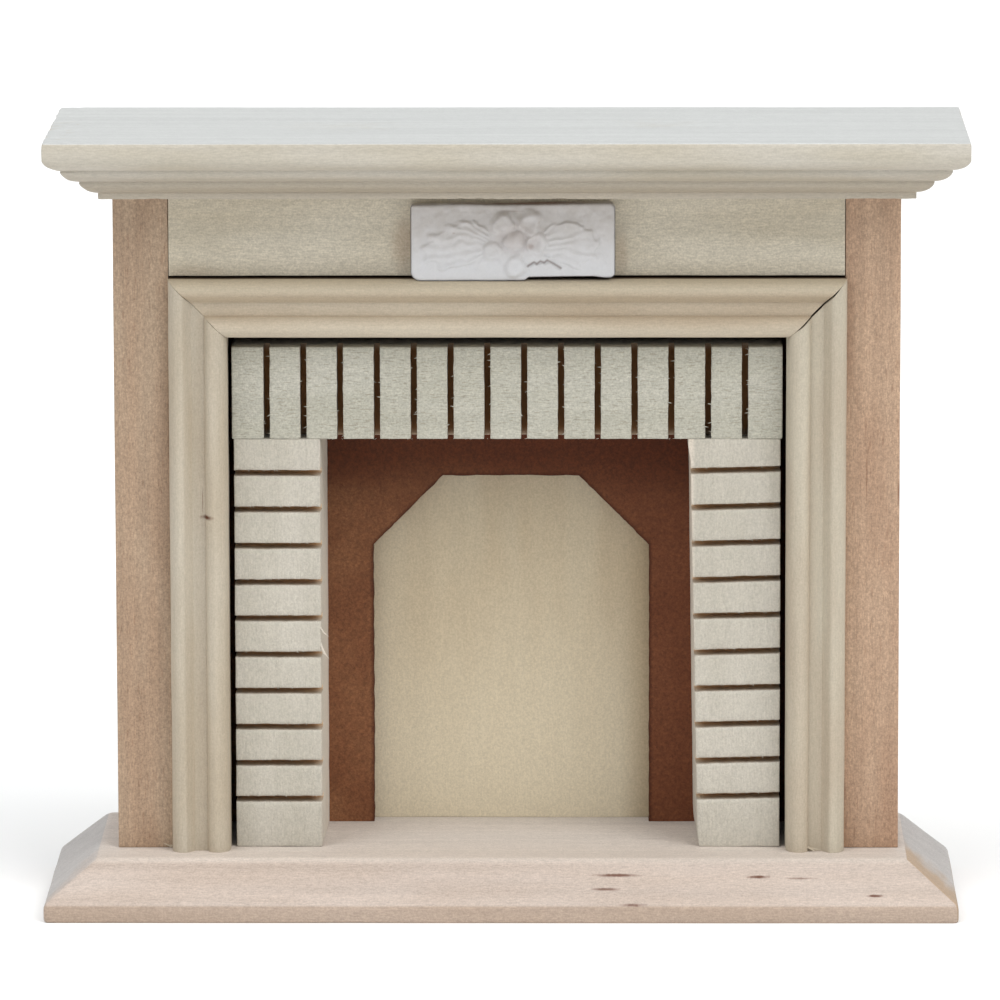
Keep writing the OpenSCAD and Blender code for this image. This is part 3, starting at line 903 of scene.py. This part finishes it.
def firebox_liner():
    low, high = box_mm("firebox_liner")
    half, top = ARCH_WIDTH / 2, ARCH_TOP_WIDTH / 2
    floor, shoulder = low[2], low[2] + ARCH_HEIGHT - ARCH_CUT
    crown = low[2] + ARCH_HEIGHT
    arch = [(ARCH_X - half, floor), (ARCH_X - half, shoulder), (ARCH_X - top, crown),
            (ARCH_X + top, crown), (ARCH_X + half, shoulder), (ARCH_X + half, floor)]
    inner = walk(arch, 0.5) + [np.array(arch[-1], float)]
    outer = walk([(high[0], floor), (high[0], high[2]), (low[0], high[2]), (low[0], floor)], 6.0)
    outline = inner + outer + [np.array([low[0], floor])]
    bm = bmesh.new()
    rough = np.array([[x, 0, z] for x, z in outline])
    moved = roughen(rough, 0.07, 0.9, 300)
    moved[:, 2] = np.where(rough[:, 2] <= floor + 1e-6, floor, moved[:, 2])
    moved[len(inner):] = rough[len(inner):]
    ring = [bm.verts.new((p[0], low[1], p[2])) for p in moved]
    face = bm.faces.new(ring)
    made = bmesh.ops.extrude_face_region(bm, geom=[face])
    for v in made["geom"]:
        if isinstance(v, bmesh.types.BMVert):
            v.co.y = high[1]
    bmesh.ops.recalc_face_normals(bm, faces=bm.faces)
    cut = [e for e in bm.edges
           if all(abs(v.co.x - ARCH_X) < half + 0.3 and v.co.z < crown + 0.3 for v in e.verts)
           and abs(e.verts[0].co.y - e.verts[1].co.y) < 1e-6]
    bmesh.ops.bevel(bm, geom=cut, offset=0.14, segments=2, profile=0.5, affect="EDGES")
    bmesh.ops.triangulate(bm, faces=[f for f in bm.faces if len(f.verts) > 4])
    bm.verts.index_update()
    points = np.array([v.co[:] for v in bm.verts])
    faces = [[v.index for v in f.verts] for f in bm.faces]
    bm.free()
    obj = make_piece("firebox_liner_sheet", points, faces, "firebox_liner", sharp=30)

    s = Shader("liner_board")
    blotch = s.noise((9.0, 9.0, 9.0), 3.0, 0.55, shift=3)
    fibre = s.noise((0.5, 0.5, 0.5), 4.0, 0.75, shift=17)
    speck = s.noise((0.24, 0.24, 0.24), 2.0, 0.6, shift=29)
    # painted light and shade: the sheet is painted lighter at its left and darker at its right,
    # which the right jamb shades
    lit_left_shaded_right = s.fade(rgb(131, 90, 62), rgb(105, 60, 39), RIGHT, low[0], high[0], 0.0, 1.0)
    colour = s.mix(s.span(blotch, 0.3, 0.7, 0.0, 0.5), lit_left_shaded_right, rgb(98, 55, 35))
    # painted shade at the top, under the lintel
    colour = s.fade(colour, rgb(77, 36, 18), UP, crown - 6, crown + 4, 0.0, 0.85)
    colour = s.shade(colour, fibre, 0.28)
    colour = s.shade(colour, speck, 0.16)
    aside = s.aside(ARCH_X)
    head = s.less(s.axis(UP), crown)
    lean = math.hypot(half - top, ARCH_CUT)
    slope = s.plus(s.math("MULTIPLY", s.less(aside, top), ARCH_CUT / lean),
                   head, (half - top) / lean)
    away = s.math("MAXIMUM", s.math("MAXIMUM", s.less(aside, half), head), slope)
    wavy = s.plus(away, fibre, 0.35)
    colour = s.mix(s.span(wavy, 0.1, 0.85, 0.8, 0.0), colour, rgb(62, 28, 16))
    relief = s.plus(s.math("MULTIPLY", fibre, 0.7), speck, 0.4)
    satin = s.span(fibre, 0.3, 0.7, 0.5, 0.66)
    wear_material(obj, s.finish(colour, satin, relief, 0.03, specular=0.12))


# ------------ plaque

PLAQUE_FIELD = 2.6  # thickness of the plaque between its ornaments
FLOWER_X, FLOWER_Z = 0.1, 0.35  # the flower's middle from the plaque's
FLOWER_RADIUS = 1.6
# each petal's middle from the flower's, its radius and how deep it is cupped
PETALS = ((-1.5, 2.2, 1.9, 0.08), (2.1, 2.3, 2.15, 0.34), (3.2, -0.5, 1.9, 0.40),
          (0.2, -3.7, 1.8, 0.05), (-3.1, -1.4, 1.8, 0.10))
# each wing's middle from the flower's, its half sizes and its tilt in degrees
WINGS = ((-8.0, -0.8, 5.0, 3.3, 14, 3), (8.4, -0.9, 4.5, 3.3, -12, 8))
# the ragged undercut below the right wing, from the flower's middle
CRACK = ((2.1, -3.8), (3.0, -3.25), (3.4, -3.55), (3.9, -3.15), (4.5, -3.35), (4.9, -3.0),
         (5.6, -3.4), (6.9, -4.2))


def wing_height(x, z, wing):
    """A leafy wing: a low oval with ridges that fan out from the flower."""
    middle_x, middle_z, half_x, half_z, tilt, seed = wing
    dx, dz = x - middle_x, z - middle_z
    turn = math.radians(tilt)
    along_it = dx * math.cos(turn) + dz * math.sin(turn)
    over_it = dz * math.cos(turn) - dx * math.sin(turn)
    flat = np.stack([x, z * 0, z], axis=1)
    far = np.hypot(along_it / half_x, over_it / half_z) + 0.11 * swell(flat, 0.9, 400 + seed)
    fan = np.degrees(np.arctan2(z + 0.9, np.abs(x) - 1.5)) + 5 * swell(flat, 2.4, 430 + seed)
    ridge = 0.5 + 0.5 * np.cos(np.radians(fan * 360 / 11))
    tips = smooth_step(0.75, 0.95, far) * (1 - ridge) * 0.12
    ridge_size = 0.13 + 0.06 * swell(flat, (1.6, 9.0, 0.6), 440 + seed)
    return smooth_step(1.1, 0.92, far + tips) * (0.24 + ridge_size * ridge)


def from_crack(x, z):
    """Distance to the ragged undercut below the right wing."""
    x, z = x - FLOWER_X, z - FLOWER_Z
    far = np.full(len(x), np.inf)
    for (ax, az), (bx, bz) in zip(CRACK, CRACK[1:]):
        run = np.array([bx - ax, bz - az])
        t = np.clip(((x - ax) * run[0] + (z - az) * run[1]) / (run @ run), 0, 1)
        far = np.minimum(far, np.hypot(x - ax - t * run[0], z - az - t * run[1]))
    return far


def plaque_relief(x, z, seed=450):
    """Height of the ornament over the plaque's field, at x and z from the plaque's middle."""
    flat = np.stack([x, z * 0, z], axis=1)
    x = x - FLOWER_X + 0.3 * swell(flat, 1.3, seed)
    z = z - FLOWER_Z + 0.3 * swell(flat, 1.3, seed + 1)
    mound = 0.42 * smooth_step(4.9, 3.3, np.hypot(x - 0.3, 1.1 * z))
    height = np.maximum.reduce([wing_height(x, z, WINGS[0]), wing_height(x, z, WINGS[1]), mound])
    ruffle = 0.06 * swell(flat, (0.7, 9.0, 0.7), seed + 5)
    for petal_x, petal_z, radius, cup in PETALS:
        away = np.hypot(x - petal_x, z - petal_z) / radius
        petal = 0.78 * smooth_step(1.2, 0.55, away) - cup * smooth_step(0.7, 0.1, away) + ruffle
        height = np.maximum(height, petal)
    away = np.hypot(x, z) / FLOWER_RADIUS
    height = height * (0.66 + 0.34 * smooth_step(1.0, 1.5, away))
    ball = 1.0 * np.sqrt(np.clip(1 - away ** 2, 0, 1))
    cracked = 0.22 * smooth_step(0.3, 0.08, from_crack(x + FLOWER_X, z + FLOWER_Z))
    return np.maximum(height, ball) + 0.035 * swell(flat, 0.55, seed + 2) - cracked


def plaque_outline(x, z, half):
    """x and z with the tablet's corners rounded, the lower left one most, and the distance of each
    point to the outline."""
    corner = np.where((x < 0) & (z < 0), 1.5, np.where(x < 0, 0.5, 0.95))
    qx, qz = half[0] - corner, half[2] - corner
    ox, oz = np.clip(np.abs(x) - qx, 0, None), np.clip(np.abs(z) - qz, 0, None)
    in_corner = (ox > 0) & (oz > 0)
    pull = np.where(in_corner, np.maximum(ox, oz) / np.maximum(np.hypot(ox, oz), 1e-9), 1.0)
    x = np.sign(x) * (np.minimum(np.abs(x), qx) + ox * pull)
    z = np.sign(z) * (np.minimum(np.abs(z), qz) + oz * pull)
    edge = np.minimum(half[0] - np.abs(x), half[2] - np.abs(z))
    return x, z, np.where(in_corner, corner - np.hypot(ox, oz) * pull, edge)


def plaque():
    low, high = box_mm("plaque")
    back = high[1]
    field = back - PLAQUE_FIELD
    middle = (low + high) / 2
    low[1] = field
    points, quads = box_skin(lines(low[0], high[0], 0.14, 0.3), lines(field, back, 0.5, 0.2),
                             lines(low[2], high[2], 0.14, 0.3))
    x, z = points[:, 0] - middle[0], points[:, 2] - middle[2]
    front = points[:, 1] < field + 1e-4
    half = (high - low) / 2
    x, z, edge = plaque_outline(x, z, half)
    points[:, 0], points[:, 2] = middle[0] + x, middle[2] + z
    lip = 0.35 * (1 - np.sqrt(np.clip(1 - (1 - np.clip(edge / 0.4, 0, 1)) ** 2, 0, 1)))
    rise = plaque_relief(x, z) * smooth_step(0.1, 0.9, edge)
    cast = 0.03 * swell(points, 1.1, 410) + 0.05 * swell(points, 3.0, 412)
    points[:, 1] += front * (lip - rise + cast)
    points[:, 2] += 0.10 * swell(points, (6.0, 9.0, 9.0), 415)
    points[:, 2] += 0.008 * x
    lifted = smooth_step(1.6, 2.4, x) * (1 - 0.5 * smooth_step(11.5, 13.5, x))
    points[:, 2] += 0.45 * lifted * smooth_step(1.2 - half[2], -half[2], z)
    # painted shadow: the tablet's underside, and its front along the crack's undercut, are painted
    # dark
    under = 0.9 * (z < 0.02 - half[2]) * ~front
    char = np.maximum(under, 0.6 * front * smooth_step(0.26, 0.04, from_crack(x, z)))
    obj = make_piece("plaque_tablet", points, quads, "plaque", char, sharp=60)

    s = Shader("plaque_cast")
    cloud = s.noise((2.2, 2.2, 2.2), 3.0, 0.6, shift=3)
    grain = s.noise((0.3, 0.3, 0.3), 3.0, 0.6, shift=9)
    colour = s.mix(s.span(cloud, 0.3, 0.7), rgb(198, 194, 192), rgb(189, 184, 180))
    # painted light: the field is painted paler and cooler towards its bottom, further from the
    # shelf's shade
    colour = s.fade(colour, rgb(206, 207, 210), UP, low[2] + 1.0, high[2] - 2.0, 0.75)
    colour = s.shade(colour, grain, 0.02)
    # the first mark is painted shade round the flower and the last is painted shade on the
    # tablet's top face; the rest are marks on the cast
    marks = [((middle[0] + 0.6, field, middle[2] + 0.6), (5.0, 3.0, 3.6), 0.2),
             ((middle[0] + 0.2, field, middle[2] + 4.6), (2.2, 0.5, 0.12), 0.3),
             ((middle[0] + 3.6, field - 0.2, middle[2] + 3.0), (0.5, 0.6, 0.4), 0.35),
             ((middle[0] + 2.6, field - 0.4, middle[2] - 0.6), (0.7, 0.8, 0.6), 0.4),
             ((middle[0] - 8.6, field - 0.2, middle[2] + 1.4), (0.3, 0.5, 0.2), 0.3),
             # painted shade on the top face, under the shelf
             ((middle[0] + 3.0, back - 1.2, high[2]), (14.0, 1.9, 0.3), 0.9)]
    colour = paint_marks(s, colour, marks, rgb(134, 104, 88))
    # the painted shadow under the tablet and along the crack
    colour = s.char(colour, rgb(92, 66, 52))
    satin = s.span(cloud, 0.3, 0.7, 0.5, 0.62)
    wear_material(obj, s.finish(colour, satin, s.math("ADD", grain, cloud), 0.015, specular=0.4))


# ------------ chips at the uprights' feet

# each sliver's upright, its root and tip from that upright's left edge, the columns' front face
# and the hearth, and its width
FOOT_CHIPS = (("architrave_left", (-0.2, -0.4, 0.15), (-1.5, -1.0, 0.9), 0.4),
              ("architrave_left", (-0.1, -0.3, 0.3), (-0.9, -0.5, 0.5), 0.3),
              ("architrave_right", (3.0, -2.6, 0.9), (4.5, -3.4, 0.1), 0.5),
              ("architrave_right", (3.4, -2.5, 0.5), (5.4, -3.0, 0.3), 0.35))


def foot_chips():
    """Torn slivers at the feet of the two uprights."""
    front = box_mm("column_left")[0][1]
    floor = box_mm("architrave_left")[0][2]
    parts = []
    for node, root, tip, width in FOOT_CHIPS:
        corner = np.array([box_mm(node)[0][0], front, floor])
        parts.append(splinter(corner + root, corner + tip, width))
    material = wood("chip_wood", UP, rgb(192, 181, 162), rgb(183, 170, 149), seed=3.3)
    splinter_piece("moulding_foot_chips", parts, material)


# ------------ stage, lights and camera


def stage():
    bpy.ops.mesh.primitive_plane_add(size=12, location=(0, 2, 0))
    floor = bpy.context.object
    floor.name = "floor"
    s = Shader("floor_paper")
    mottle = s.noise((60.0, 60.0, 60.0), 2.0)
    wear_material(floor, s.finish(s.mix(mottle, (0.93, 0.93, 0.93, 1), (0.95, 0.95, 0.95, 1)), 0.9,
                                  specular=0.0))


def direction(azimuth, elevation):
    """A unit vector at these angles in degrees. Azimuth goes from the front towards the right."""
    a, e = math.radians(azimuth), math.radians(elevation)
    return Vector((math.sin(a) * math.cos(e), -math.cos(a) * math.cos(e), math.sin(e)))


LIGHT_SPREAD = math.radians(38)


def soft_light(name, azimuth, elevation, strength, colour):
    """A wide, distant light."""
    data = bpy.data.lights.new(name, "SUN")
    data.angle = LIGHT_SPREAD
    data.energy = strength
    data.color = colour
    light = add_object(name, data)
    light.rotation_mode = "QUATERNION"
    light.rotation_quaternion = direction(azimuth, elevation).to_track_quat("Z", "Y")


def lights():
    world = bpy.data.worlds.new("studio")
    world.use_nodes = True
    background = world.node_tree.nodes["Background"]
    background.inputs["Color"].default_value = (0.93, 0.97, 1.0, 1)
    background.inputs["Strength"].default_value = 0.5
    bpy.context.scene.world = world
    soft_light("key", 45, 40, 1.35, (1.0, 0.985, 0.96))
    soft_light("fill", -45, 40, 0.8, (1.0, 0.99, 0.98))
    soft_light("overhead", 0, 80, 1.25, (1.0, 0.995, 0.99))


CAMERA_AIM = Vector((-0.0007, -0.004, 0.0604))
CAMERA_DISTANCE = 1.2572
CAMERA_AZIMUTH = 0.76  # degrees, a little to the right of square on
CAMERA_ELEVATION = 9.68
CAMERA_ROLL = math.radians(-0.14)
CAMERA_LENS = 307.7  # millimetres on a 36 mm sensor


def camera():
    data = bpy.data.cameras.new("camera")
    data.lens = CAMERA_LENS
    data.sensor_width = 36.0
    data.clip_start, data.clip_end = 0.05, 30.0
    cam = add_object("camera", data)
    back = direction(CAMERA_AZIMUTH, CAMERA_ELEVATION)
    turn = (-back).to_track_quat("-Z", "Y").to_matrix().to_4x4()
    place = Matrix.Translation(CAMERA_AIM + back * CAMERA_DISTANCE)
    cam.matrix_world = place @ turn @ Matrix.Rotation(CAMERA_ROLL, 4, "Z")
    bpy.context.scene.camera = cam


camera()
stage()
lights()
bpy.context.scene.view_settings.view_transform = "Standard"
hearth_base()
columns()
frieze_and_back()
mantel_shelf()
mouldings()
brick_splinters(*brick_blocks())
firebox_liner()
plaque()
foot_chips()
